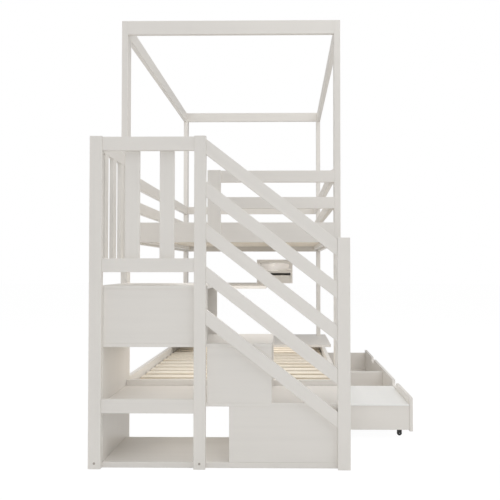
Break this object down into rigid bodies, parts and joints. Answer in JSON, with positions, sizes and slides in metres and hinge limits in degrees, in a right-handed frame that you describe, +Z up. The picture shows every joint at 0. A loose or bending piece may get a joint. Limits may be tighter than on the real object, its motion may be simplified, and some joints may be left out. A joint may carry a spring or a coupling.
{
  "type": "house bunk bed with storage stairs",
  "caption": "White bunk bed under a flat box canopy frame, with guard rails, a storage staircase with a landing, rolling drawers, and small boards and a box shelf.",
  "frame": {"origin": "middle of the footprint of the whole object at rest, on the floor; at rest the drawers stand pulled out as in the picture", "axes": "+Z up, +Y along the bed away from the staircase, +X towards the side where the drawers pull out"},
  "size_m": [1.44, 2.4892, 2.034],
  "materials": {
    "white_paint": "matt white painted wood",
    "pine": "clear matt pine",
    "black_plastic": "black moulded plastic",
    "grey_rubber": "dark rubber tread",
    "steel": "zinc plated steel",
    "cap_grey": "grey beige plastic cap"
  },
  "bodies": {
    "bed": {"post_near_left": "white_paint", "post_near_right": "white_paint", "post_far_left": "white_paint", "post_far_right": "white_paint", "canopy_end_beams": "white_paint", "canopy_side_beams": "white_paint", "upper_end_rails": "white_paint", "upper_side_rails": "white_paint", "upper_slat_ledgers": "white_paint", "upper_slats": "pine", "near_guard_rails": "white_paint", "near_guard_post": "white_paint", "far_guard_rails": "white_paint", "left_guard_rails": "white_paint", "right_guard_rails": "white_paint", "lower_end_rails": "white_paint", "lower_side_rails": "white_paint", "lower_slat_ledgers": "white_paint", "lower_centre_beam": "white_paint", "lower_slats": "pine", "far_board": "white_paint", "desk_board": "white_paint", "desk_uprights": "white_paint", "box_shelf": "white_paint", "stair_post_left": "white_paint", "stair_post_middle": "white_paint", "stair_post_right": "white_paint", "stair_front_rails": "white_paint", "platform_front_slats": "white_paint", "platform_side_rails": "white_paint", "platform_side_slats": "white_paint", "stair_sloping_boards": "white_paint", "stair_left_wall": "white_paint", "stair_right_wall": "white_paint", "stair_floor_board": "white_paint", "stair_level_1_board": "white_paint", "stair_level_2_board": "white_paint", "stair_platform_board": "white_paint", "stair_dividers": "white_paint", "stair_front_panels": "white_paint", "stair_back_panels": "white_paint", "frame_bolts": "steel", "cover_caps": "cap_grey"},
    "drawer_near": {"drawer_near_front": "white_paint", "drawer_near_box": "white_paint", "drawer_near_bottom": "white_paint", "drawer_near_brackets": "black_plastic", "drawer_near_axles": "steel", "drawer_near_screws": "steel", "drawer_near_lid": "white_paint"},
    "drawer_near_front_wheel_pair": {"drawer_near_front_wheels": "grey_rubber"},
    "drawer_near_rear_wheel_pair": {"drawer_near_rear_wheels": "grey_rubber"},
    "drawer_far": {"drawer_far_front": "white_paint", "drawer_far_box": "white_paint", "drawer_far_bottom": "white_paint", "drawer_far_brackets": "black_plastic", "drawer_far_axles": "steel", "drawer_far_screws": "steel"},
    "drawer_far_front_wheel_pair": {"drawer_far_front_wheels": "grey_rubber"},
    "drawer_far_rear_wheel_pair": {"drawer_far_rear_wheels": "grey_rubber"}
  },
  "joints": [
    {"name": "drawer_near_slide", "type": "slide", "parent": "bed", "child": "drawer_near", "axis": [1, 0, 0], "range_m": [-0.356, 0.08]},
    {"name": "drawer_near_front_wheels_turn", "type": "hinge", "parent": "drawer_near", "child": "drawer_near_front_wheel_pair", "pos_m": [0.665, -0.2539, 0.01225], "axis": [0, 1, 0], "continuous": true},
    {"name": "drawer_near_rear_wheels_turn", "type": "hinge", "parent": "drawer_near", "child": "drawer_near_rear_wheel_pair", "pos_m": [0.042, -0.2539, 0.01225], "axis": [0, 1, 0], "continuous": true},
    {"name": "drawer_far_slide", "type": "slide", "parent": "bed", "child": "drawer_far", "axis": [1, 0, 0], "range_m": [-0.356, 0.08]},
    {"name": "drawer_far_front_wheels_turn", "type": "hinge", "parent": "drawer_far", "child": "drawer_far_front_wheel_pair", "pos_m": [0.665, 0.6981, 0.01225], "axis": [0, 1, 0], "continuous": true},
    {"name": "drawer_far_rear_wheels_turn", "type": "hinge", "parent": "drawer_far", "child": "drawer_far_rear_wheel_pair", "pos_m": [0.042, 0.6981, 0.01225], "axis": [0, 1, 0], "continuous": true}
  ],
  "couplings": [
    {"joint": "drawer_near_front_wheels_turn", "follows": "drawer_near_slide", "rad_per_m": 81.633},
    {"joint": "drawer_near_rear_wheels_turn", "follows": "drawer_near_slide", "rad_per_m": 81.633},
    {"joint": "drawer_far_front_wheels_turn", "follows": "drawer_far_slide", "rad_per_m": 81.633},
    {"joint": "drawer_far_rear_wheels_turn", "follows": "drawer_far_slide", "rad_per_m": 81.633}
  ]
}
